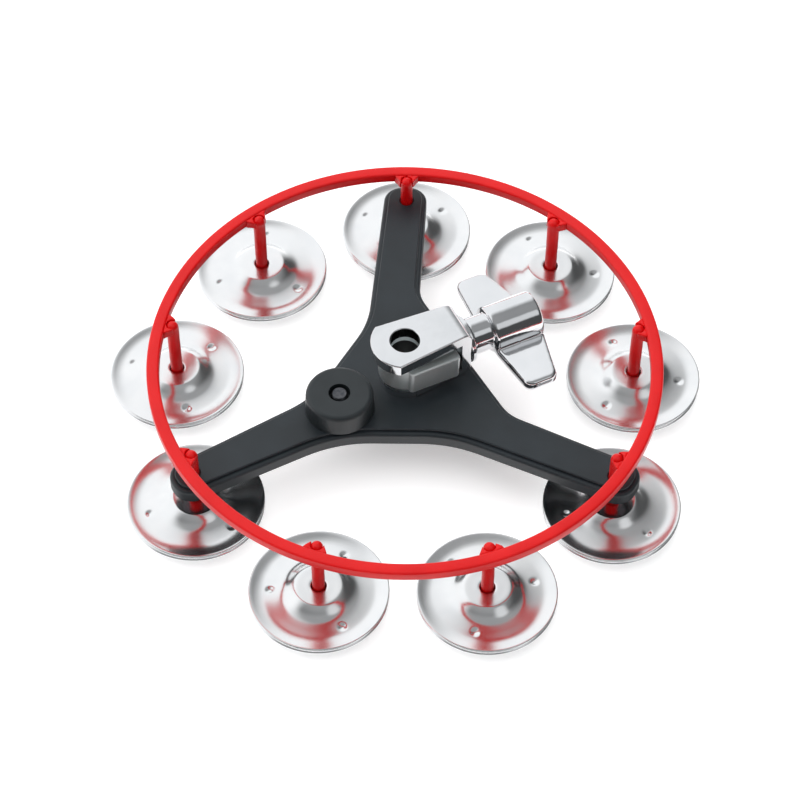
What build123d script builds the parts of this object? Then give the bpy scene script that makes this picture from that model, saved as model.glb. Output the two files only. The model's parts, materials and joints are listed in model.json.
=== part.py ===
from build123d import *
import os
from math import cos, radians, sin, sqrt, tan

# Headless mountable tambourine: a steel hoop, nine pairs of jingles on pins, a three-armed
# spider and a rod clamp at its centre.
# Millimetres. The origin is the hoop's centre, half way up the hoop's bar, on the axis of the
# rod that the clamp grips. +Z is up. +Y points along the spider's back arm.

# ---------------------------------------------------------------- driving dimensions, mm
# hoop: a rounded square bar bent into a ring of 203 mm outside diameter
HOOP_RADIUS = 98.9
HOOP_BAR_WIDTH = 5.0
HOOP_BAR_HEIGHT = 4.6
HOOP_BAR_CORNER = 1.2

# pins: round bars with a nail head, welded upright against the inside of the hoop
PIN_COUNT = 9
PIN_STEP = 360 / PIN_COUNT
FIRST_PIN_ANGLE = 90
PIN_RADIUS = 2.5
PIN_CIRCLE = 93.85
PIN_DOME_Z = 0.0
PIN_HEAD_RADIUS = 5.0
PIN_HEAD_THICKNESS = 1.6

# weld beads: a wedge of filler on both sides of each pin
WELD_HALF_WIDTH = 4.9
WELD_TOP_Z = 1.7
WELD_BOTTOM_Z = -2.0
WELD_REACH = 3.4

# jingles: pressed sheet discs with a flat boss, in mirrored pairs
JINGLE_RADIUS = 27.0
JINGLE_SHEET = 0.7
JINGLE_HOLE_RADIUS = 3.0
JINGLE_BOSS_RADIUS = 9.2
JINGLE_CONE_RADIUS = 12.4
JINGLE_CONE_DEPTH = 1.95
JINGLE_FOOT_RADIUS = 16.4
JINGLE_FOOT_DEPTH = 3.1
JINGLE_VALLEY_RADIUS = 22.0
JINGLE_VALLEY_DEPTH = 3.6
JINGLE_RIM_DEPTH = 2.9
JINGLE_CONE_SLOPE = -0.35
JINGLE_RIM_SLOPE = 0.28
JINGLE_TOP_Z = -26.0
JINGLE_GAP = 0.3
DENT_COUNT = 3
DENT_CIRCLE = 18.7
DENT_RADIUS = 1.6
DENT_DEPTH = 0.45
# how far each pair has turned on its pin, in degrees: the jingles are loose, so no two agree
JINGLE_TURNS = [35, 85, 45, 80, 60, 15, 75, 113, 115]
LOWER_JINGLE_EXTRA_TURN = 50

# spider: moulded three-armed carrier with a raised top pad
SPIDER_TOP_Z = -10.6
SPIDER_LEDGE_DROP = 1.4
SPIDER_LEDGE_WIDTH = 2.0
SPIDER_LEDGE_ROUND = 1.2
SPIDER_PAD_ROUND = 0.5
SPIDER_BOTTOM_Z = -17.6
FRONT_FILLET = 55.0
SIDE_FILLET = 40.0
NOTCH_FILLET = 16.0
ARM_ANGLES = [90, 210, 330]
ARM_TIP_HALF_WIDTH = 8.8
ARM_TIP_CORNER = 7.6
ARM_TIP_REACH = 8.9
WEIGHT_ARM_HALF_WIDTH = 8.0
# where the arms' sides meet the centre: along an arm, and to its side
FLAT_CORNER = (29.2, 15.1)
WEIGHT_ARM_CORNER = (36.2, 10.6)
NOTCH_CORNER = (43.8, 5.6)
# the right arm's outline is turned a little about the centre; its pin hole isn't
RIGHT_ARM_TURN = 1.0
ARM_HOLE_CHAMFER = 0.6
ARM_HOLE_CLEARANCE = 0.05
HUB_HOLE_RADIUS = 6.5
POCKET_WALL = 2.6
POCKET_DEPTH = 3.6
POCKET_RIB_HALF_WIDTH = 1.3
PIN_BOSS_WALL = 1.2

# retaining rings: push-on discs that hold the arm tips up on their three pins
RING_RADIUS = 5.2
RING_THICKNESS = 1.0

# clamp: a chromed U bracket, an eye bolt in it, a washer and a wing nut
CLAMP_ANGLE = 27
ROD_HOLE_RADIUS = 5.75
EAR_THICKNESS = 5.0
EAR_HALF_WIDTH = 10.7
UPPER_EAR_RADIUS = 13.5
UPPER_EAR_TOP_Z = 13.2
LOWER_EAR_RADIUS = 10.2
LOWER_EAR_THICKNESS = 4.0
WEB_THICKNESS = 4.5
WEB_OUTER_U = 25.2
WEB_HALF_WIDTH = 8.6
WEB_HOLE_RADIUS = 3.3
BEND_RADIUS = 4.2
EAR_EDGE = 0.5

# the eye bolt isn't tight, so its loose end hangs down by a small angle
BOLT_Z = 0.4
BOLT_DROOP = 1.8
EYE_RADIUS = 10.4
EYE_HALF_WIDTH = 12.0
EYE_HEIGHT = 11.2
EYE_LEFT_U = -3.4
EYE_RIGHT_U = 18.5
EYE_CORNER = 1.6
EYE_EDGE = 0.6
SHANK_RADIUS = 3.0
SHANK_END_U = 50.0
SHANK_OVERLAP = 2.0
THREAD_CLEARANCE = 0.05
WASHER_RADIUS = 9.7
WASHER_THICKNESS = 2.0
WASHER_EDGE = 0.5

# wing nut, along the bolt
NUT_GAP = 0.35
NUT_NECK_RADIUS = 7.6
NUT_BARREL_RADIUS = 9.7
NUT_BARREL_START_U = 36.2
NUT_END_U = 57.5
NUT_BORE_END_U = 53.5
NUT_EDGE = 1.2
WING_TURN = -3.5
WING_THICKNESS = 4.6
WING_SPAN_HALF = 31.5
WING_TIP_START_U = 38.3
WING_TIP_END_U = 51.6
WING_EDGE = 1.4
WING_TIP_CORNER = 4.0

# bracket screws: two countersunk screws from under the spider into the lower ear
BRACKET_SCREW_U = 15.0
BRACKET_SCREW_V = 6.0
BRACKET_SCREW_RADIUS = 2.0
BRACKET_SCREW_DEPTH = 3.6
COUNTERSINK_RADIUS = 4.0
COUNTERSINK_DEPTH = 2.0
SCREW_SLOT_WIDTH = 0.9
SCREW_SLOT_DEPTH = 1.0

# balance weight on the arm opposite the wing nut, its screw and its nut
WEIGHT_DISTANCE = 29.4
WEIGHT_ANGLE = 210
WEIGHT_TOP_RADIUS = 13.2
WEIGHT_BASE_RADIUS = 13.6
WEIGHT_HEIGHT = 9.3
WEIGHT_EDGE = 1.8
WEIGHT_RECESS_RADIUS = 4.3
WEIGHT_RECESS_DEPTH = 3.6
WEIGHT_SCREW_RADIUS = 2.0
WEIGHT_SCREW_HEAD_RADIUS = 3.3
WEIGHT_SCREW_HEAD_HEIGHT = 3.2
WEIGHT_SCREW_BEVEL = 0.6
WEIGHT_NUT_ACROSS_FLATS = 7.0
WEIGHT_NUT_HEIGHT = 3.2
WEIGHT_SCREW_END = 0.6
SCREW_HOLE_CLEARANCE = 0.1

# longer than anything here, for cuts that go right through
BLOCK = 400.0

# ---------------------------------------------------------------- sizes that follow from those
JINGLE_DEPTH = JINGLE_VALLEY_DEPTH + JINGLE_SHEET
PAIR_HEIGHT = 2 * JINGLE_DEPTH + JINGLE_GAP
LOWER_JINGLE_BOTTOM_Z = JINGLE_TOP_Z - PAIR_HEIGHT
PIN_HEAD_TOP_Z = LOWER_JINGLE_BOTTOM_Z - JINGLE_GAP / 2
SPIDER_LEDGE_Z = SPIDER_TOP_Z - SPIDER_LEDGE_DROP
UPPER_EAR_BOTTOM_Z = UPPER_EAR_TOP_Z - EAR_THICKNESS
WEB_HOLE_Z = BOLT_Z - WEB_OUTER_U * tan(radians(BOLT_DROOP))
NUT_START_U = WEB_OUTER_U + WASHER_THICKNESS + NUT_GAP
CLAMP_PLACE = Rot(0, 0, CLAMP_ANGLE)
BOLT_PLACE = CLAMP_PLACE * Pos(0, 0, BOLT_Z) * Rot(0, BOLT_DROOP, 0)


# ---------------------------------------------------------------- helpers
def pin_place(index):
    """The upright axis of one pin, turned so that local +X points away from the centre."""
    return Rot(0, 0, FIRST_PIN_ANGLE + index * PIN_STEP) * Pos(PIN_CIRCLE, 0, 0)


def upright(radius, bottom, top):
    """A cylinder on the Z axis between two heights."""
    return Pos(0, 0, bottom) * Cylinder(radius, top - bottom, align=(Align.CENTER, Align.CENTER, Align.MIN))


def lathe(outline):
    """A solid turned about Z from a closed outline of (radius, height) in the XY plane."""
    return revolve(Plane.XZ * make_face(outline), Axis.Z)


def lying(radius, start, end):
    """A cylinder on the X axis between two places along it."""
    bar = Cylinder(radius, end - start, align=(Align.CENTER, Align.CENTER, Align.MIN))
    return Pos(start, 0, 0) * Rot(0, 90, 0) * bar


def arm_point(angle, distance, left):
    """A point given by its distance along an arm and how far it is to the arm's left."""
    turn = radians(angle)
    return (distance * cos(turn) - left * sin(turn), distance * sin(turn) + left * cos(turn))


# ---------------------------------------------------------------- hoop, pins and welds
def make_hoop():
    section = Pos(HOOP_RADIUS, 0) * RectangleRounded(HOOP_BAR_WIDTH, HOOP_BAR_HEIGHT, HOOP_BAR_CORNER)
    return revolve(Plane.XZ * section, Axis.Z)


def make_pin():
    bottom = PIN_HEAD_TOP_Z - PIN_HEAD_THICKNESS
    bevel = PIN_HEAD_THICKNESS / 3
    lean = PIN_RADIUS * sqrt(0.5)
    side = Polyline(
        (0, bottom),
        (PIN_HEAD_RADIUS - bevel, bottom),
        (PIN_HEAD_RADIUS, bottom + bevel),
        (PIN_HEAD_RADIUS, PIN_HEAD_TOP_Z),
        (PIN_RADIUS, PIN_HEAD_TOP_Z),
        (PIN_RADIUS, PIN_DOME_Z),
    )
    dome = ThreePointArc((PIN_RADIUS, PIN_DOME_Z), (lean, PIN_DOME_Z + lean), (0, PIN_DOME_Z + PIN_RADIUS))
    axis = Line((0, PIN_DOME_Z + PIN_RADIUS), (0, bottom))
    return lathe(side + dome + axis)


def make_weld():
    """A wedge from the hoop's inner face to the pin's two sides, without the hoop and the pin."""
    hoop_side = HOOP_RADIUS - PIN_CIRCLE
    plan = Polygon(
        (hoop_side, -WELD_HALF_WIDTH),
        (hoop_side, WELD_HALF_WIDTH),
        (hoop_side - HOOP_BAR_WIDTH / 2, WELD_HALF_WIDTH),
        (hoop_side - HOOP_BAR_WIDTH / 2 - WELD_REACH, PIN_RADIUS),
        (hoop_side - HOOP_BAR_WIDTH / 2 - WELD_REACH, -PIN_RADIUS),
        (hoop_side - HOOP_BAR_WIDTH / 2, -WELD_HALF_WIDTH),
        align=None,
    )
    wedge = Pos(0, 0, WELD_BOTTOM_Z) * extrude(plan, WELD_TOP_Z - WELD_BOTTOM_Z)
    wedge = wedge - Pos(-PIN_CIRCLE, 0, 0) * hoop
    wedge = wedge - upright(PIN_RADIUS, -BLOCK, BLOCK)
    return Compound(children=sorted(wedge.solids(), key=lambda part: part.volume)[-2:])


# ---------------------------------------------------------------- jingles
def jingle_curve(drop):
    """The curved part of a jingle's section, from its boss to its rim, lowered by drop."""
    points = [
        (JINGLE_BOSS_RADIUS, -drop),
        (JINGLE_CONE_RADIUS, -JINGLE_CONE_DEPTH - drop),
        (JINGLE_FOOT_RADIUS, -JINGLE_FOOT_DEPTH - drop),
        (JINGLE_VALLEY_RADIUS, -JINGLE_VALLEY_DEPTH - drop),
        (JINGLE_RADIUS, -JINGLE_RIM_DEPTH - drop),
    ]
    return Spline(points, tangents=((1, JINGLE_CONE_SLOPE), (1, JINGLE_RIM_SLOPE)))


def make_jingle():
    """One disc with its boss up: the top of the boss is at height zero."""
    boss_top = Line((JINGLE_HOLE_RADIUS, 0), (JINGLE_BOSS_RADIUS, 0))
    boss_under = Line((JINGLE_BOSS_RADIUS, -JINGLE_SHEET), (JINGLE_HOLE_RADIUS, -JINGLE_SHEET))
    hole = Line((JINGLE_HOLE_RADIUS, -JINGLE_SHEET), (JINGLE_HOLE_RADIUS, 0))
    rim = Line((JINGLE_RADIUS, -JINGLE_RIM_DEPTH), (JINGLE_RADIUS, -JINGLE_RIM_DEPTH - JINGLE_SHEET))
    disc = lathe(boss_top + jingle_curve(0) + rim + jingle_curve(JINGLE_SHEET) + boss_under + hole)
    ball_radius = (DENT_RADIUS ** 2 + DENT_DEPTH ** 2) / (2 * DENT_DEPTH)
    ball_z = -JINGLE_VALLEY_DEPTH - DENT_DEPTH + ball_radius
    for dent in range(DENT_COUNT):
        disc = disc - Rot(0, 0, dent * 360 / DENT_COUNT) * Pos(DENT_CIRCLE, 0, ball_z) * Sphere(ball_radius)
    return disc


# ---------------------------------------------------------------- spider and its rings
def spider_outline():
    """The spider's plan: three arms and a centre with two flat sides and a notch at the clamp."""
    tip = PIN_CIRCLE + ARM_TIP_REACH
    back, weight_side, right = ARM_ANGLES
    right = right + RIGHT_ARM_TURN
    flat_along, flat_side = FLAT_CORNER
    root_along, root_side = WEIGHT_ARM_CORNER
    notch_along, notch_side = NOTCH_CORNER
    corners = [
        arm_point(back, tip, -ARM_TIP_HALF_WIDTH),
        arm_point(back, tip, ARM_TIP_HALF_WIDTH),
        arm_point(back, flat_along, flat_side),
        arm_point(weight_side, root_along, -root_side),
        arm_point(weight_side, tip, -WEIGHT_ARM_HALF_WIDTH),
        arm_point(weight_side, tip, WEIGHT_ARM_HALF_WIDTH),
        arm_point(weight_side, root_along, root_side),
        arm_point(right, flat_along, -flat_side),
        arm_point(right, tip, -ARM_TIP_HALF_WIDTH),
        arm_point(right, tip, ARM_TIP_HALF_WIDTH),
        arm_point(right, notch_along, notch_side),
        arm_point(back, notch_along, -notch_side),
    ]
    plan = make_face(Polyline(*corners, close=True))
    tips = [corner for corner in plan.vertices() if Vector(corner.X, corner.Y).length > PIN_CIRCLE]
    plan = fillet(tips, ARM_TIP_CORNER)
    inner = [
        (corners[2], SIDE_FILLET),
        (corners[3], SIDE_FILLET),
        (corners[6], FRONT_FILLET),
        (corners[7], FRONT_FILLET),
        (corners[10], NOTCH_FILLET),
        (corners[11], NOTCH_FILLET),
    ]
    for place, radius in inner:
        plan = fillet(plan.vertices().sort_by_distance(place)[0], radius)
    return plan


def spider_pockets(plan):
    """The hollows under the arms: inside the walls, clear of the bosses, split by a rib."""
    inside = offset(plan, amount=-POCKET_WALL)
    inside = inside - Circle(WEIGHT_DISTANCE + WEIGHT_SCREW_HEAD_RADIUS + POCKET_WALL)
    for angle in ARM_ANGLES:
        inside = inside - Rot(0, 0, angle) * Pos(PIN_CIRCLE, 0) * Circle(RING_RADIUS + PIN_BOSS_WALL)
        middle = (PIN_CIRCLE + WEIGHT_DISTANCE) / 2
        inside = inside - Rot(0, 0, angle) * Pos(middle, 0) * Rectangle(PIN_CIRCLE, 2 * POCKET_RIB_HALF_WIDTH)
    return extrude(inside, POCKET_DEPTH)


def make_spider():
    plan = spider_outline()
    body = Pos(0, 0, SPIDER_BOTTOM_Z) * extrude(plan, SPIDER_LEDGE_Z - SPIDER_BOTTOM_Z)
    body = fillet(body.edges().group_by(Axis.Z)[-1], SPIDER_LEDGE_ROUND)
    pad = extrude(offset(plan, amount=-SPIDER_LEDGE_WIDTH), 2 * SPIDER_LEDGE_DROP)
    pad = fillet(pad.edges().group_by(Axis.Z)[-1], SPIDER_PAD_ROUND)
    body = body + Pos(0, 0, SPIDER_TOP_Z - 2 * SPIDER_LEDGE_DROP) * pad
    body = body - Pos(0, 0, SPIDER_BOTTOM_Z) * spider_pockets(plan)
    body = body - upright(HUB_HOLE_RADIUS, -BLOCK, BLOCK)
    for angle in ARM_ANGLES:
        hole = upright(PIN_RADIUS + ARM_HOLE_CLEARANCE, -BLOCK, BLOCK)
        top = SPIDER_TOP_Z - ARM_HOLE_CHAMFER / 2
        mouth = Pos(0, 0, top) * Cone(PIN_RADIUS, PIN_RADIUS + ARM_HOLE_CHAMFER, ARM_HOLE_CHAMFER)
        body = body - Rot(0, 0, angle) * Pos(PIN_CIRCLE, 0) * (hole + mouth)
    screw_hole = upright(WEIGHT_SCREW_RADIUS + SCREW_HOLE_CLEARANCE, -BLOCK, BLOCK)
    body = body - weight_place() * screw_hole
    for side in (-1, 1):
        body = body - bracket_screw_place(side) * bracket_screw_shape(SCREW_HOLE_CLEARANCE)
    return body


def make_retaining_ring():
    ring = upright(RING_RADIUS, SPIDER_BOTTOM_Z - RING_THICKNESS, SPIDER_BOTTOM_Z)
    ring = fillet(ring.edges(), RING_THICKNESS * 0.3)
    return ring - upright(PIN_RADIUS + ARM_HOLE_CLEARANCE, -BLOCK, BLOCK)


# ---------------------------------------------------------------- clamp: +X leaves along its bolt
def ear_plan(radius):
    """An ear from above: a round end about the rod's axis, and sides that taper to the web."""
    taper = (EAR_HALF_WIDTH - WEB_HALF_WIDTH) / WEB_OUTER_U
    wide = EAR_HALF_WIDTH + taper * radius
    sides = Polygon(
        (-radius, -wide),
        (WEB_OUTER_U, -WEB_HALF_WIDTH),
        (WEB_OUTER_U, WEB_HALF_WIDTH),
        (-radius, wide),
        align=None,
    )
    reach = Circle(radius) + Pos(WEB_OUTER_U / 2, 0) * Rectangle(WEB_OUTER_U, 2 * wide)
    return sides & reach


def make_bracket():
    """A U of thick plate: a long upper ear, a web and a shorter lower ear on the spider."""
    upper = Pos(0, 0, UPPER_EAR_BOTTOM_Z) * extrude(ear_plan(UPPER_EAR_RADIUS), EAR_THICKNESS)
    lower = Pos(0, 0, SPIDER_TOP_Z) * extrude(ear_plan(LOWER_EAR_RADIUS), LOWER_EAR_THICKNESS)
    web_plan = ear_plan(UPPER_EAR_RADIUS) & Pos(WEB_OUTER_U - WEB_THICKNESS / 2, 0) * Rectangle(
        WEB_THICKNESS, 4 * WEB_HALF_WIDTH
    )
    web = Pos(0, 0, SPIDER_TOP_Z) * extrude(web_plan, UPPER_EAR_TOP_Z - SPIDER_TOP_Z)
    body = upper + lower + web
    bends = body.edges().filter_by(Axis.Y).group_by(Axis.X)[-1]
    body = fillet(bends, BEND_RADIUS)
    body = body - upright(ROD_HOLE_RADIUS, -BLOCK, BLOCK)
    body = body - Pos(0, 0, WEB_HOLE_Z) * lying(WEB_HOLE_RADIUS, 0, BLOCK)
    for side in (-1, 1):
        place = CLAMP_PLACE.inverse() * bracket_screw_place(side)
        body = body - place * upright(BRACKET_SCREW_RADIUS, -BLOCK, SPIDER_TOP_Z + BRACKET_SCREW_DEPTH)
    top = body.faces().filter_by(Axis.Z).sort_by(Axis.Z)[-1]
    body = fillet(top.edges().filter_by(Axis.Y, reverse=True), EAR_EDGE)
    return CLAMP_PLACE * body


def make_eye_bolt():
    """A block with a round eye for the rod, on a threaded shank that leaves through the web."""
    eye = upright(EYE_RADIUS, -EYE_HEIGHT / 2, EYE_HEIGHT / 2)
    middle = (EYE_RIGHT_U + EYE_LEFT_U) / 2
    block = Pos(middle, 0, 0) * Box(EYE_RIGHT_U - EYE_LEFT_U, 2 * EYE_HALF_WIDTH, EYE_HEIGHT)
    block = fillet(block.edges().filter_by(Axis.Z), EYE_CORNER)
    body = eye + block
    faces = body.faces().filter_by(Axis.Z).sort_by(Axis.Z)
    body = fillet(faces[-1].edges() + faces[0].edges(), EYE_EDGE)
    shank = lying(SHANK_RADIUS, EYE_RIGHT_U - SHANK_OVERLAP, SHANK_END_U)
    return BOLT_PLACE * (body + shank) - upright(ROD_HOLE_RADIUS, -BLOCK, BLOCK)


def make_washer():
    disc = lying(WASHER_RADIUS, WEB_OUTER_U, WEB_OUTER_U + WASHER_THICKNESS)
    disc = fillet(disc.edges().filter_by(GeomType.CIRCLE), WASHER_EDGE)
    return CLAMP_PLACE * Pos(0, 0, WEB_HOLE_Z) * (disc - lying(WEB_HOLE_RADIUS, 0, BLOCK))


def make_wings():
    """Both wings as one tapered plate with rounded edges."""
    half_wing = Polygon(
        (NUT_BARREL_START_U, 0),
        (NUT_BARREL_START_U, NUT_BARREL_RADIUS),
        (WING_TIP_START_U, WING_SPAN_HALF),
        (WING_TIP_END_U, WING_SPAN_HALF),
        (NUT_END_U, NUT_BARREL_RADIUS),
        (NUT_END_U, 0),
        align=None,
    )
    plan = half_wing + mirror(half_wing, Plane.XZ)
    tips = [corner for corner in plan.vertices() if abs(corner.Y) > WING_SPAN_HALF - WING_EDGE]
    plan = fillet(tips, WING_TIP_CORNER)
    plate = Pos(0, 0, -WING_THICKNESS / 2) * extrude(plan, WING_THICKNESS)
    flats = plate.faces().sort_by(Axis.Z)
    return fillet(flats[-1].edges() + flats[0].edges(), WING_EDGE)


def make_wing_nut():
    """A stepped barrel with two flat tapered wings, bored from the washer's side."""
    neck = lying(NUT_NECK_RADIUS, NUT_START_U, NUT_BARREL_START_U + NUT_EDGE)
    barrel = lying(NUT_BARREL_RADIUS, NUT_BARREL_START_U, NUT_END_U)
    barrel = fillet(barrel.edges().filter_by(GeomType.CIRCLE), NUT_EDGE)
    body = barrel + make_wings() + neck
    body = body - lying(SHANK_RADIUS + THREAD_CLEARANCE, 0, NUT_BORE_END_U)
    return BOLT_PLACE * Rot(WING_TURN, 0, 0) * body


def bracket_screw_place(side):
    return CLAMP_PLACE * Pos(BRACKET_SCREW_U, side * BRACKET_SCREW_V, 0)


def bracket_screw_shape(extra):
    """A countersunk screw, or with extra added to its radius the hole that it goes through."""
    top = SPIDER_TOP_Z + BRACKET_SCREW_DEPTH
    shank = upright(BRACKET_SCREW_RADIUS + extra, SPIDER_BOTTOM_Z, top)
    head = Cone(
        COUNTERSINK_RADIUS + extra,
        BRACKET_SCREW_RADIUS + extra,
        COUNTERSINK_DEPTH,
        align=(Align.CENTER, Align.CENTER, Align.MIN),
    )
    return shank + Pos(0, 0, SPIDER_BOTTOM_Z) * head


def make_bracket_screws():
    screws = []
    slot = Box(SCREW_SLOT_WIDTH, 2 * COUNTERSINK_RADIUS, 2 * SCREW_SLOT_DEPTH)
    for side in (-1, 1):
        screw = bracket_screw_shape(0) - Pos(0, 0, SPIDER_BOTTOM_Z) * slot
        screws.append(bracket_screw_place(side) * screw)
    return Compound(children=screws)


# ---------------------------------------------------------------- balance weight
def weight_place():
    return Rot(0, 0, WEIGHT_ANGLE) * Pos(WEIGHT_DISTANCE, 0, 0)


def make_weight():
    disc = Cone(
        WEIGHT_BASE_RADIUS,
        WEIGHT_TOP_RADIUS,
        WEIGHT_HEIGHT,
        align=(Align.CENTER, Align.CENTER, Align.MIN),
    )
    disc = Pos(0, 0, SPIDER_TOP_Z) * disc
    disc = fillet(disc.edges().group_by(Axis.Z)[-1], WEIGHT_EDGE)
    top = SPIDER_TOP_Z + WEIGHT_HEIGHT
    disc = disc - upright(WEIGHT_RECESS_RADIUS, top - WEIGHT_RECESS_DEPTH, BLOCK)
    disc = disc - upright(WEIGHT_SCREW_RADIUS + SCREW_HOLE_CLEARANCE, -BLOCK, BLOCK)
    return weight_place() * disc


def make_weight_screw():
    """A plain round head with a bevelled rim, sunk in the disc, and a shank down to its nut."""
    seat = SPIDER_TOP_Z + WEIGHT_HEIGHT - WEIGHT_RECESS_DEPTH
    head = upright(WEIGHT_SCREW_HEAD_RADIUS, seat, seat + WEIGHT_SCREW_HEAD_HEIGHT)
    head = chamfer(head.edges().group_by(Axis.Z)[-1], WEIGHT_SCREW_BEVEL)
    shank = upright(WEIGHT_SCREW_RADIUS, SPIDER_BOTTOM_Z - WEIGHT_NUT_HEIGHT - WEIGHT_SCREW_END, seat)
    return weight_place() * (head + shank)


def make_weight_nut():
    corner_radius = WEIGHT_NUT_ACROSS_FLATS / sqrt(3)
    bottom = SPIDER_BOTTOM_Z - WEIGHT_NUT_HEIGHT
    nut = Pos(0, 0, bottom) * extrude(RegularPolygon(corner_radius, 6), WEIGHT_NUT_HEIGHT)
    return weight_place() * (nut - upright(WEIGHT_SCREW_RADIUS, -BLOCK, BLOCK))


# ---------------------------------------------------------------- the parts, written one by one
hoop = make_hoop()
parts = {
    "hoop": hoop,
    "spider": make_spider(),
    "clamp_bracket": make_bracket(),
    "bracket_screws": make_bracket_screws(),
    "eye_bolt": make_eye_bolt(),
    "clamp_washer": make_washer(),
    "wing_nut": make_wing_nut(),
    "balance_weight": make_weight(),
    "weight_screw": make_weight_screw(),
    "weight_nut": make_weight_nut(),
}

pin = make_pin()
weld = make_weld()
jingle = make_jingle()
flipped_jingle = Rot(180, 0, 0) * jingle
for index in range(PIN_COUNT):
    number = index + 1
    place = pin_place(index)
    at_pin = Pos(place.position)
    turn = JINGLE_TURNS[index]
    parts[f"jingle_pin_{number}"] = place * pin
    parts[f"pin_weld_{number}"] = place * weld
    parts[f"jingle_upper_{number}"] = at_pin * Pos(0, 0, JINGLE_TOP_Z) * Rot(0, 0, turn) * jingle
    lower_turn = turn + LOWER_JINGLE_EXTRA_TURN
    lower_place = at_pin * Pos(0, 0, LOWER_JINGLE_BOTTOM_Z) * Rot(0, 0, lower_turn)
    parts[f"jingle_lower_{number}"] = lower_place * flipped_jingle

ring = make_retaining_ring()
for number, angle in enumerate(ARM_ANGLES, start=1):
    parts[f"arm_ring_{number}"] = Rot(0, 0, angle) * Pos(PIN_CIRCLE, 0, 0) * ring

os.makedirs("parts", exist_ok=True)
for name, shape in parts.items():
    export_step(shape, f"parts/{name}.step")
print(len(parts), "parts written")
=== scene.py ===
"""Looks of the headless mountable tambourine: red coated hoop and pins, polished dimpled jingles,
a satin black spider and a chromed rod clamp, on a plain pale floor in soft studio light.

Metres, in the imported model's frame: the origin is the hoop's centre and +Z is up.
"""
import json
import math

import bmesh
import bpy
from mathutils import Matrix, Vector, noise

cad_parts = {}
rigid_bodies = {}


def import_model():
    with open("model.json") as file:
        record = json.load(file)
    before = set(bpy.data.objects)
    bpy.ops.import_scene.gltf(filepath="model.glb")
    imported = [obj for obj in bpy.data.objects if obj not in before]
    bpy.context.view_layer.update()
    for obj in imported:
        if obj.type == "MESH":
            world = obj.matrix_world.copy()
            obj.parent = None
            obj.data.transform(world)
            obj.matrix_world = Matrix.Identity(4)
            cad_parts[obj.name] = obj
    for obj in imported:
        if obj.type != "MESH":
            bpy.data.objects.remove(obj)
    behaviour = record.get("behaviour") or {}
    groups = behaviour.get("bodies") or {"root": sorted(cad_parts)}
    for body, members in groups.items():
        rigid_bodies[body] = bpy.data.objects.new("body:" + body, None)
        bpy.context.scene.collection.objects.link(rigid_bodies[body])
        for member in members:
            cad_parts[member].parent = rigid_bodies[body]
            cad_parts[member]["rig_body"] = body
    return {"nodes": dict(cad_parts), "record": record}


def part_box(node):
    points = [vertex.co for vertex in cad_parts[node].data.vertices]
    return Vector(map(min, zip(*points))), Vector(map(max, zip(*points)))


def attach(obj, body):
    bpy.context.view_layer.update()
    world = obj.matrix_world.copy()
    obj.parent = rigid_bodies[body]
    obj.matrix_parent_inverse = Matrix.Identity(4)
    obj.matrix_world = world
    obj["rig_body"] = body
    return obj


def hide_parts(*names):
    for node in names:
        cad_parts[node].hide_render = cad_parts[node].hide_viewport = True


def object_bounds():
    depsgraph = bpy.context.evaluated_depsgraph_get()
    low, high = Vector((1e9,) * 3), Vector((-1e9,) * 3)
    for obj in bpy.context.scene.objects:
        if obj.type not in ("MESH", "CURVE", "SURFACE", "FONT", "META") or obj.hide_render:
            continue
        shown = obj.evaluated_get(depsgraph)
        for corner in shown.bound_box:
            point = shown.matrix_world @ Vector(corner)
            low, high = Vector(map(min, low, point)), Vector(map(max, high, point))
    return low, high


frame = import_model()
cad_low, cad_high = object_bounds()

MM = 0.001
PIN_COUNT = 9

# ------------------------------------------------------------------ camera
CAMERA_ELEVATION = math.radians(52.82)
CAMERA_ROLL = math.radians(0.2)
CAMERA_AZIMUTH = math.radians(0.343)
CAMERA_TARGET = Vector((-0.0019, -0.0191, 0.0))
CAMERA_DISTANCE = 0.9984
CAMERA_SENSOR = 36.0
CAMERA_LENS = 115.65


def make_camera():
    """A long lens that looks down on the object along +Y."""
    around = Matrix.Rotation(CAMERA_AZIMUTH, 3, "Z")
    back = around @ Vector((0, -math.cos(CAMERA_ELEVATION), math.sin(CAMERA_ELEVATION)))
    level_right = around @ Vector((1, 0, 0))
    level_up = back.cross(level_right)
    right = math.cos(CAMERA_ROLL) * level_right + math.sin(CAMERA_ROLL) * level_up
    up = back.cross(right)
    data = bpy.data.cameras.new("camera")
    data.sensor_width = CAMERA_SENSOR
    data.lens = CAMERA_LENS
    data.clip_start = 0.05
    data.clip_end = 20
    camera = bpy.data.objects.new("camera", data)
    turn = Matrix((right, up, back)).transposed().to_4x4()
    camera.matrix_world = Matrix.Translation(around @ CAMERA_TARGET + back * CAMERA_DISTANCE) @ turn
    bpy.context.scene.collection.objects.link(camera)
    bpy.context.scene.camera = camera


# ------------------------------------------------------------------ material helpers
def new_material(name):
    """A material with a Principled shader; gives the material, its node tree and the shader."""
    material = bpy.data.materials.new(name)
    material.use_nodes = True
    tree = material.node_tree
    return material, tree, tree.nodes["Principled BSDF"]


def set_values(shader, **values):
    """Sets the shader's own sockets; an underscore in a key stands for a space."""
    for key, value in values.items():
        shader.inputs[key.replace("_", " ")].default_value = value


def noise_node(tree, scale, detail=3.0, roughness=0.5):
    """A noise pattern in the object's own frame, with scale in cells per metre."""
    place = tree.nodes.new("ShaderNodeTexCoord")
    pattern = tree.nodes.new("ShaderNodeTexNoise")
    pattern.inputs["Scale"].default_value = scale
    pattern.inputs["Detail"].default_value = detail
    pattern.inputs["Roughness"].default_value = roughness
    tree.links.new(place.outputs["Object"], pattern.inputs["Vector"])
    return pattern


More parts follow.
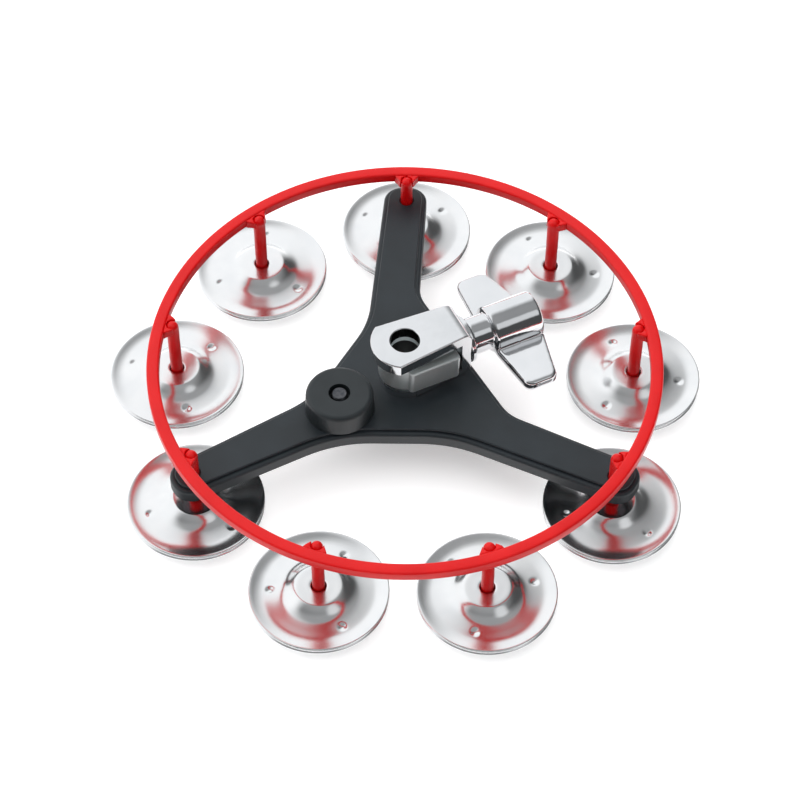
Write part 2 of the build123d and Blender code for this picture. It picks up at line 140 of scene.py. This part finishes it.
def ramp(tree, source, stops):
    """A colour ramp on source; stops are (place, (r, g, b)) pairs."""
    node = tree.nodes.new("ShaderNodeValToRGB")
    node.color_ramp.elements[0].position = stops[0][0]
    node.color_ramp.elements[0].color = (*stops[0][1], 1)
    node.color_ramp.elements[1].position = stops[-1][0]
    node.color_ramp.elements[1].color = (*stops[-1][1], 1)
    for place, colour in stops[1:-1]:
        element = node.color_ramp.elements.new(place)
        element.color = (*colour, 1)
    tree.links.new(source, node.inputs["Fac"])
    return node.outputs["Color"]


def scaled(tree, source, low, high):
    """Maps source from 0..1 to low..high."""
    node = tree.nodes.new("ShaderNodeMapRange")
    node.inputs["To Min"].default_value = low
    node.inputs["To Max"].default_value = high
    tree.links.new(source, node.inputs["Value"])
    return node.outputs["Result"]


def bump(tree, shader, height, strength, distance):
    """A bump of the given distance in metres on the shader's normal; bumps can be chained."""
    node = tree.nodes.new("ShaderNodeBump")
    node.inputs["Strength"].default_value = strength
    node.inputs["Distance"].default_value = distance
    tree.links.new(height, node.inputs["Height"])
    if shader.inputs["Normal"].is_linked:
        tree.links.new(shader.inputs["Normal"].links[0].from_socket, node.inputs["Normal"])
    tree.links.new(node.outputs["Normal"], shader.inputs["Normal"])


# ------------------------------------------------------------------ materials
def red_coat():
    """Thick powder coat with a soft gloss: an even red with a fine orange-peel skin."""
    material, tree, shader = new_material("red_coat")
    set_values(shader, IOR=1.5, Specular_IOR_Level=0.25, Coat_Weight=0.1, Coat_Roughness=0.08)
    cloud = noise_node(tree, 60, detail=4)
    colour = ramp(tree, cloud.outputs["Fac"], [(0.3, (0.59, 0.002, 0.003)), (0.7, (0.68, 0.004, 0.005))])
    tree.links.new(colour, shader.inputs["Base Color"])
    tree.links.new(scaled(tree, cloud.outputs["Fac"], 0.25, 0.4), shader.inputs["Roughness"])
    peel = noise_node(tree, 900, detail=1)
    bump(tree, shader, peel.outputs["Fac"], 0.35, 0.00006)
    wave = noise_node(tree, 140, detail=2)
    bump(tree, shader, wave.outputs["Fac"], 0.5, 0.0002)
    return material


def polished_steel():
    """Nickel-plated sheet: bright, with a faint cloudy polish."""
    material, tree, shader = new_material("jingle_steel")
    set_values(shader, Metallic=1.0)
    cloud = noise_node(tree, 90, detail=5)
    colour = ramp(tree, cloud.outputs["Fac"], [(0.25, (0.80, 0.81, 0.82)), (0.75, (0.90, 0.90, 0.90))])
    tree.links.new(colour, shader.inputs["Base Color"])
    tree.links.new(scaled(tree, cloud.outputs["Fac"], 0.14, 0.24), shader.inputs["Roughness"])
    return material


# distances from the rod's axis between which the painted shade inside the rod's bore fades to the full plate
# colour
BORE_RADIUS = 5.77 * MM
BORE_SHADE_END = 5.9 * MM
# how much of the plate colour the painted shade leaves inside the rod's bore
BORE_SHADE_LEVEL = 0.1


def bore_shaded(tree, colour):
    """Paints shade inside the rod's bore into a plate colour, darkening it towards the axis."""
    place = tree.nodes.new("ShaderNodeTexCoord")
    flat = tree.nodes.new("ShaderNodeVectorMath")
    flat.operation = "MULTIPLY"
    flat.inputs[1].default_value = (1, 1, 0)
    tree.links.new(place.outputs["Object"], flat.inputs[0])
    away = tree.nodes.new("ShaderNodeVectorMath")
    away.operation = "LENGTH"
    tree.links.new(flat.outputs["Vector"], away.inputs[0])
    step = tree.nodes.new("ShaderNodeMapRange")
    step.inputs["From Min"].default_value = BORE_RADIUS
    step.inputs["From Max"].default_value = BORE_SHADE_END
    step.inputs["To Min"].default_value = BORE_SHADE_LEVEL
    tree.links.new(away.outputs["Value"], step.inputs["Value"])
    shade = tree.nodes.new("ShaderNodeVectorMath")
    shade.operation = "SCALE"
    tree.links.new(colour, shade.inputs[0])
    tree.links.new(step.outputs["Result"], shade.inputs["Scale"])
    return shade.outputs["Vector"]


def cast_plate():
    """The eye bolt's block: plated as cast, so duller than the polished bracket."""
    material, tree, shader = new_material("eye_bolt_plate")
    set_values(shader, Metallic=0.8)
    cloud = noise_node(tree, 120, detail=4)
    colour = ramp(tree, cloud.outputs["Fac"], [(0.25, (0.58, 0.63, 0.63)), (0.75, (0.70, 0.74, 0.74))])
    # the block's plate colour, with painted shade inside the rod's bore
    tree.links.new(bore_shaded(tree, colour), shader.inputs["Base Color"])
    tree.links.new(scaled(tree, cloud.outputs["Fac"], 0.28, 0.42), shader.inputs["Roughness"])
    return material


def chrome():
    """Bright plate over a cast part: nearly a mirror, with a slight ripple of the casting."""
    material, tree, shader = new_material("clamp_chrome")
    set_values(shader, Metallic=1.0)
    cloud = noise_node(tree, 70, detail=4)
    colour = ramp(tree, cloud.outputs["Fac"], [(0.25, (0.70, 0.715, 0.73)), (0.75, (0.78, 0.785, 0.80))])
    # the chrome colour, with painted shade inside the rod's bore
    tree.links.new(bore_shaded(tree, colour), shader.inputs["Base Color"])
    tree.links.new(scaled(tree, cloud.outputs["Fac"], 0.05, 0.13), shader.inputs["Roughness"])
    ripple = noise_node(tree, 160, detail=2)
    bump(tree, shader, ripple.outputs["Fac"], 0.4, 0.00015)
    return material


def satin_black(name, low, high):
    """Satin black with a very fine grain and slight clouding between two greys."""
    material, tree, shader = new_material(name)
    set_values(shader, IOR=1.5)
    cloud = noise_node(tree, 45, detail=5)
    colour = ramp(tree, cloud.outputs["Fac"], [(0.3, low), (0.7, high)])
    tree.links.new(colour, shader.inputs["Base Color"])
    tree.links.new(scaled(tree, cloud.outputs["Fac"], 0.36, 0.5), shader.inputs["Roughness"])
    grain = noise_node(tree, 3200, detail=2)
    bump(tree, shader, grain.outputs["Fac"], 0.25, 0.00005)
    return material


def dark_steel():
    """Dark plated fastener steel with small wear spots."""
    material, tree, shader = new_material("dark_steel")
    set_values(shader, Metallic=1.0)
    spots = noise_node(tree, 700, detail=4)
    colour = ramp(tree, spots.outputs["Fac"], [(0.35, (0.07, 0.075, 0.085)), (0.75, (0.16, 0.16, 0.17))])
    tree.links.new(colour, shader.inputs["Base Color"])
    tree.links.new(scaled(tree, spots.outputs["Fac"], 0.22, 0.42), shader.inputs["Roughness"])
    return material


MATERIALS = {
    "red_coat": red_coat(),
    "jingle_steel": polished_steel(),
    "clamp_chrome": chrome(),
    "spider_black": satin_black("spider_black", (0.010, 0.014, 0.017), (0.017, 0.023, 0.028)),
    "weight_black": satin_black("weight_black", (0.010, 0.014, 0.016), (0.020, 0.025, 0.028)),
    "dark_steel": dark_steel(),
}


def paint(piece, slot):
    piece.data.materials.clear()
    piece.data.materials.append(MATERIALS[slot])


# ------------------------------------------------------------------ mesh helpers
def add_object(name, mesh):
    piece = bpy.data.objects.new(name, mesh)
    bpy.context.scene.collection.objects.link(piece)
    return piece


def smooth_line(points, steps):
    """Points on a smooth curve through the given ones, with so many steps between two of them."""
    line = []
    for place in range(len(points) - 1):
        before = Vector(points[max(place - 1, 0)])
        start = Vector(points[place])
        end = Vector(points[place + 1])
        after = Vector(points[min(place + 2, len(points) - 1)])
        for step in range(steps):
            t = step / steps
            slope_in = (end - before) / 2
            slope_out = (after - start) / 2
            line.append(
                (2 * t**3 - 3 * t**2 + 1) * start
                + (t**3 - 2 * t**2 + t) * slope_in
                + (3 * t**2 - 2 * t**3) * end
                + (t**3 - t**2) * slope_out
            )
    line.append(Vector(points[-1]))
    return line


def lathe_mesh(name, outline, segments, closed, move=None):
    """A mesh turned about Z from (radius, height) points; move can shift each point.
    An outline that isn't closed starts and ends on the axis."""
    build = bmesh.new()
    rings = []
    for radius, height in outline:
        if radius < 1e-9:
            rings.append([build.verts.new((0, 0, height))])
            continue
        ring = []
        for segment in range(segments):
            turn = 2 * math.pi * segment / segments
            point = Vector((radius * math.cos(turn), radius * math.sin(turn), height))
            ring.append(build.verts.new(move(point) if move else point))
        rings.append(ring)
    pairs = list(zip(rings, rings[1:]))
    if closed:
        pairs.append((rings[-1], rings[0]))
    for first, second in pairs:
        for segment in range(segments):
            after = (segment + 1) % segments
            corners = [
                first[segment % len(first)],
                first[after % len(first)],
                second[after % len(second)],
                second[segment % len(second)],
            ]
            unique = list(dict.fromkeys(corners))
            if len(unique) > 2:
                build.faces.new(unique)
    bmesh.ops.recalc_face_normals(build, faces=build.faces)
    mesh = bpy.data.meshes.new(name)
    build.to_mesh(mesh)
    build.free()
    mesh.shade_smooth()
    return mesh


def bake_modifiers(piece):
    """Replaces a piece's mesh by what its modifiers make of it."""
    graph = bpy.context.evaluated_depsgraph_get()
    mesh = bpy.data.meshes.new_from_object(piece.evaluated_get(graph))
    piece.modifiers.clear()
    piece.data = mesh
    return piece


def finish_piece(piece, node, slot):
    """Paints a detailed piece and lets it stand for a CAD node, on that node's body."""
    paint(piece, slot)
    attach(piece, frame["nodes"][node]["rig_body"])
    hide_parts(node)
    return piece


# ------------------------------------------------------------------ CAD nodes that stay
def paint_nodes():
    """Every CAD node takes the material of its slot in the record; the eye bolt's plate is duller."""
    for subpart in frame["record"]["subparts"]:
        paint(frame["nodes"][subpart["node"]], subpart["material_slot"])
    block = frame["nodes"]["eye_bolt"].data
    block.materials.clear()
    block.materials.append(cast_plate())


def cast_copy(node, name, voxel, rounds):
    """A copy of a CAD node with its corners melted together, as on a casting."""
    piece = add_object(name, frame["nodes"][node].data.copy())
    remesh = piece.modifiers.new("remesh", "REMESH")
    remesh.mode = "VOXEL"
    remesh.voxel_size = voxel
    remesh.use_smooth_shade = True
    smooth = piece.modifiers.new("smooth", "SMOOTH")
    smooth.factor = 0.5
    smooth.iterations = rounds
    return bake_modifiers(piece)


# ------------------------------------------------------------------ jingles
JINGLE_SHEET = 0.7 * MM
JINGLE_SEGMENTS = 216
JINGLE_HOLE_EDGE = 3.3 * MM
# how uneven the pressed sheet is, and how many waves it has per metre
JINGLE_UNEVEN = 0.06 * MM
JINGLE_WAVES = 55
DENT_CIRCLE = 18.7 * MM
DENT_RADIUS = 1.9 * MM
DENT_DEPTH = 0.5 * MM
DENT_COUNT = 3
# at the dents, the upper face is above this height and the lower face below it
UPPER_FACE_Z = -3.6 * MM
# how far each pair has turned on its pin, and the lower jingle past the upper one, in degrees
DENT_TURNS = [35, 85, 45, 80, 60, 15, 75, 113, 115]
LOWER_EXTRA_TURN = 50
# keeps the unevenness of the lower jingles apart from that of the upper ones
LOWER_SEED = 20
# section of the upper face in mm: boss, shoulder, cone, valley, flange and rim
JINGLE_SECTION = [
    (3.0, -0.25), (3.25, 0.0), (6.0, 0.0), (8.5, 0.0), (9.3, -0.12), (10.1, -0.5), (11.2, -1.15),
    (12.5, -2.0), (13.7, -2.6), (15.0, -3.0), (16.8, -3.25), (18.7, -3.42), (20.5, -3.54),
    (21.8, -3.57), (23.2, -3.48), (24.6, -3.27), (25.8, -3.02), (26.7, -2.9), (27.0, -3.1),
]


def dented(point, turn):
    """Presses the three dents into a point of a jingle's upper face."""
    for dent in range(DENT_COUNT):
        angle = turn + dent * 2 * math.pi / DENT_COUNT
        centre = Vector((math.cos(angle), math.sin(angle))) * DENT_CIRCLE
        away = (point.xy - centre).length / DENT_RADIUS
        if away < 1:
            point.z -= DENT_DEPTH * (1 - away**2) ** 1.5
    return point


def make_jingle(name, seed, turn):
    """One pressed disc with its boss up and the top of the boss at height zero."""
    upper = [Vector((r * MM, z * MM)) for r, z in smooth_line(JINGLE_SECTION, 3)]
    lower = [Vector((r * MM, z * MM - JINGLE_SHEET)) for r, z in JINGLE_SECTION[1:-1]]
    shift = Vector((seed * 3.7, seed * 1.9, 0))

    def move(point):
        if point.xy.length < JINGLE_HOLE_EDGE:
            return point
        uneven = noise.noise(point * JINGLE_WAVES + shift) * JINGLE_UNEVEN
        if point.z > UPPER_FACE_Z:
            point = dented(point, turn)
        point.z += uneven
        return point

    return lathe_mesh(name, upper + lower[::-1], JINGLE_SEGMENTS, True, move)


def make_jingles():
    """Two discs on each pin, one boss up and one boss down, with their hollow sides together."""
    for number in range(1, PIN_COUNT + 1):
        for level, flip in (("upper", False), ("lower", True)):
            node = f"jingle_{level}_{number}"
            low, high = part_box(node)
            centre = (low + high) / 2
            seed = number + (LOWER_SEED if flip else 0)
            turn = math.radians(DENT_TURNS[number - 1] + (LOWER_EXTRA_TURN if flip else 0))
            mesh = make_jingle(f"{node}_sheet", seed, turn)
            piece = add_object(f"{node}_sheet", mesh)
            if flip:
                place = Matrix.Translation((centre.x, centre.y, low.z)) @ Matrix.Rotation(math.pi, 4, "X")
            else:
                place = Matrix.Translation((centre.x, centre.y, high.z))
            mesh.transform(place)
            finish_piece(piece, node, "jingle_steel")


# ------------------------------------------------------------------ hoop, pins and welds
HOOP_BAR_WIDTH = 5.0 * MM
HOOP_CORNER = 0.95 * MM
HOOP_SEGMENTS = 720
CORNER_STEPS = 6
PIN_RADIUS = 2.5 * MM
PIN_SEGMENTS = 64
PIN_SHANK_STEPS = 30
PIN_DOME_STEPS = 10
PIN_HEAD_THICKNESS = 1.6 * MM
# how uneven the coat is on a pin, as a share of its radius, and its waves per metre
PIN_UNEVEN = 0.04
PIN_WAVES = 240
WELD_VOXEL = 0.28 * MM
WELD_SMOOTHING = 10
WELD_SWELL = 0.35 * MM
WELD_WAVES = 420


def make_hoop():
    """The ring's bar as one smooth turned section."""
    low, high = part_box("hoop")
    outer = high.x
    corners = [
        (outer - HOOP_CORNER, high.z - HOOP_CORNER, 0),
        (outer - HOOP_BAR_WIDTH + HOOP_CORNER, high.z - HOOP_CORNER, 90),
        (outer - HOOP_BAR_WIDTH + HOOP_CORNER, low.z + HOOP_CORNER, 180),
        (outer - HOOP_CORNER, low.z + HOOP_CORNER, 270),
    ]
    outline = []
    for radius, height, start in corners:
        for step in range(CORNER_STEPS + 1):
            angle = math.radians(start + 90 * step / CORNER_STEPS)
            outline.append((radius + HOOP_CORNER * math.cos(angle), height + HOOP_CORNER * math.sin(angle)))
    mesh = lathe_mesh("hoop_bar", outline, HOOP_SEGMENTS, True)
    finish_piece(add_object("hoop_bar", mesh), "hoop", "red_coat")


def make_pins():
    """Round bars with a domed top and a flat head below, slightly uneven under their coat."""
    for number in range(1, PIN_COUNT + 1):
        node = f"jingle_pin_{number}"
        low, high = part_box(node)
        centre = (low + high) / 2
        head_radius = (high.x - low.x) / 2
        bevel = PIN_HEAD_THICKNESS / 3
        dome_z = high.z - PIN_RADIUS
        outline = [
            (0, low.z),
            (head_radius - bevel, low.z),
            (head_radius, low.z + bevel),
            (head_radius, low.z + PIN_HEAD_THICKNESS),
            (PIN_RADIUS, low.z + PIN_HEAD_THICKNESS),
        ]
        shank_start = low.z + PIN_HEAD_THICKNESS
        for step in range(1, PIN_SHANK_STEPS):
            height = shank_start + (dome_z - shank_start) * step / PIN_SHANK_STEPS
            outline.append((PIN_RADIUS, height))
        for step in range(PIN_DOME_STEPS):
            angle = math.radians(90 * step / PIN_DOME_STEPS)
            outline.append((PIN_RADIUS * math.cos(angle), dome_z + PIN_RADIUS * math.sin(angle)))
        outline.append((0, high.z))
        shift = Vector((number * 2.3, number * 1.1, 0))

        def move(point):
            inward = 1 - PIN_UNEVEN * (0.5 + noise.noise(point * PIN_WAVES + shift))
            return Vector((point.x * inward, point.y * inward, point.z))

        mesh = lathe_mesh(f"{node}_bar", outline, PIN_SEGMENTS, False, move)
        mesh.transform(Matrix.Translation((centre.x, centre.y, 0)))
        finish_piece(add_object(f"{node}_bar", mesh), node, "red_coat")


def make_welds():
    """Weld beads that melt into the pin and the hoop under the coat."""
    for number in range(1, PIN_COUNT + 1):
        node = f"pin_weld_{number}"
        piece = cast_copy(node, f"{node}_bead", WELD_VOXEL, WELD_SMOOTHING)
        shift = Vector((number * 1.7, 0, 0))
        for vertex in piece.data.vertices:
            lump = 0.6 + noise.noise(vertex.co * WELD_WAVES + shift)
            vertex.co += vertex.normal * WELD_SWELL * lump
        finish_piece(piece, node, "red_coat")


# ------------------------------------------------------------------ clamp
NUT_VOXEL = 0.34 * MM
NUT_SMOOTHING = 18


def make_wing_nut():
    """The nut is a casting: its corners and the wings' roots run into each other."""
    piece = cast_copy("wing_nut", "wing_nut_casting", NUT_VOXEL, NUT_SMOOTHING)
    finish_piece(piece, "wing_nut", "clamp_chrome")


# ------------------------------------------------------------------ studio
FLOOR_SIZE = 6.0
FLOOR_GLOW = 0.35
# the sky's strengths, and the directions of its bright wall and of its window
SKY_DARK = 0.08
SKY_TOP = 0.36
SKY_WALL = 1.12
SKY_WINDOW = 0.8
WALL_DIRECTION = (-1, 1, 0)
WINDOW_DIRECTION = (0.51, -0.4, 0.76)
SKY_COLOUR = (0.97, 0.985, 1.0, 1)


def make_floor():
    """A plain pale floor at the pins' heads, which glows a little so that shadows stay faint."""
    floor_z = cad_low.z
    mesh = bpy.data.meshes.new("floor")
    half = FLOOR_SIZE / 2
    corners = [(-half, -half, floor_z), (half, -half, floor_z), (half, half, floor_z), (-half, half, floor_z)]
    mesh.from_pydata(corners, [], [(0, 1, 2, 3)])
    floor = add_object("floor", mesh)
    material, tree, shader = new_material("floor")
    set_values(shader, Base_Color=(0.9, 0.9, 0.9, 1), Roughness=0.9, Specular_IOR_Level=0.0)
    set_values(shader, Emission_Color=(1, 1, 1, 1), Emission_Strength=FLOOR_GLOW)
    mesh.materials.append(material)


def make_light(name, place, size, power):
    """A soft area light, aimed at the object, that only fills the shade and isn't reflected."""
    data = bpy.data.lights.new(name, "AREA")
    data.shape = "RECTANGLE"
    data.size, data.size_y = size
    data.energy = power
    light = bpy.data.objects.new(name, data)
    light.visible_glossy = False
    aim = (-Vector(place)).to_track_quat("-Z", "Y")
    light.matrix_world = Matrix.Translation(place) @ aim.to_matrix().to_4x4()
    bpy.context.scene.collection.objects.link(light)


def sky_part(tree, direction, start, end, low, high):
    """A smooth step of the sky along a direction, from low to high."""
    place = tree.nodes.new("ShaderNodeTexCoord")
    along = tree.nodes.new("ShaderNodeVectorMath")
    along.operation = "DOT_PRODUCT"
    along.inputs[1].default_value = direction
    tree.links.new(place.outputs["Generated"], along.inputs[0])
    step = tree.nodes.new("ShaderNodeMapRange")
    step.interpolation_type = "SMOOTHSTEP"
    step.inputs["From Min"].default_value = start
    step.inputs["From Max"].default_value = end
    step.inputs["To Min"].default_value = low
    step.inputs["To Max"].default_value = high
    tree.links.new(along.outputs["Value"], step.inputs["Value"])
    return step.outputs["Result"]


def sky_mix(tree, factor, base, strength):
    """Goes from the base strength to a fixed one as factor goes from 0 to 1."""
    node = tree.nodes.new("ShaderNodeMix")
    node.data_type = "FLOAT"
    tree.links.new(factor, node.inputs["Factor"])
    tree.links.new(base, node.inputs["A"])
    node.inputs["B"].default_value = strength
    return node.outputs["Result"]


def make_sky():
    """A soft studio: a bright wall at the back and left, a window, and dark walls elsewhere."""
    world = bpy.data.worlds.new("studio")
    bpy.context.scene.world = world
    world.use_nodes = True
    tree = world.node_tree
    top = sky_part(tree, (0, 0, 1), 0.5, 0.95, SKY_DARK, SKY_TOP)
    wall = sky_part(tree, WALL_DIRECTION, 0.2, 0.7, 0.0, 1.0)
    window = sky_part(tree, WINDOW_DIRECTION, 0.955, 0.985, 0.0, 1.0)
    strength = sky_mix(tree, wall, top, SKY_WALL)
    strength = sky_mix(tree, window, strength, SKY_WINDOW)
    background = tree.nodes["Background"]
    background.inputs["Color"].default_value = SKY_COLOUR
    tree.links.new(strength, background.inputs["Strength"])


def make_studio():
    make_floor()
    make_sky()
    make_light("overhead_fill", place=(-0.25, 0.35, 1.6), size=(3.2, 3.2), power=44)
    make_light("front_fill", place=(0.2, -1.6, 0.9), size=(1.8, 1.0), power=4)
    bpy.context.scene.view_settings.view_transform = "Standard"


# ------------------------------------------------------------------ the scene
make_camera()
paint_nodes()
make_jingles()
make_hoop()
make_pins()
make_welds()
make_wing_nut()
make_studio()
